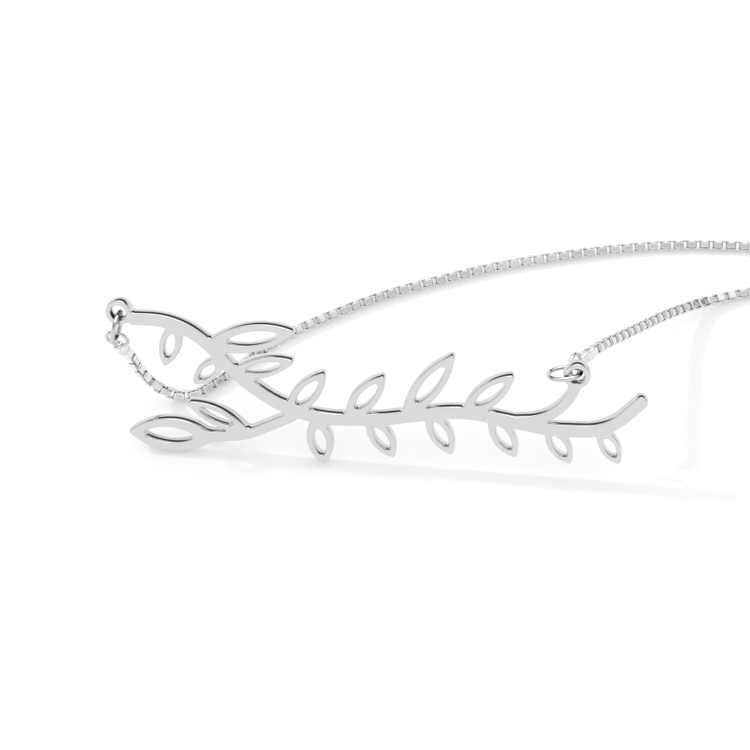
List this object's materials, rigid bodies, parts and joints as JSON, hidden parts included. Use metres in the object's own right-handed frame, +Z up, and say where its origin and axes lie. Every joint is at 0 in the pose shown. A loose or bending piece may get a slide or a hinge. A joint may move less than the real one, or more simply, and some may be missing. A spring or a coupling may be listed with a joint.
{
  "type": "nameplate necklace",
  "caption": "Fine box-chain necklace whose flat pierced plate, cut as a leafy vine, hangs by two small rings; shown set down, the plate standing and the chain looped behind it.",
  "frame": {"origin": "middle of the footprint, on the table", "axes": "+X from the plate to the clasp, -Y the plate's front, +Z up from the table"},
  "size_m": [0.1647, 0.0979, 0.0122],
  "materials": {
    "plate_silver": "polished silver",
    "chain_silver": "polished silver links"
  },
  "bodies": {
    "root": {"nameplate": "plate_silver", "jump_ring_left": "plate_silver", "jump_ring_right": "plate_silver", "chain_left": "chain_silver", "chain_right": "chain_silver", "clasp": "plate_silver"}
  },
  "joints": []
}
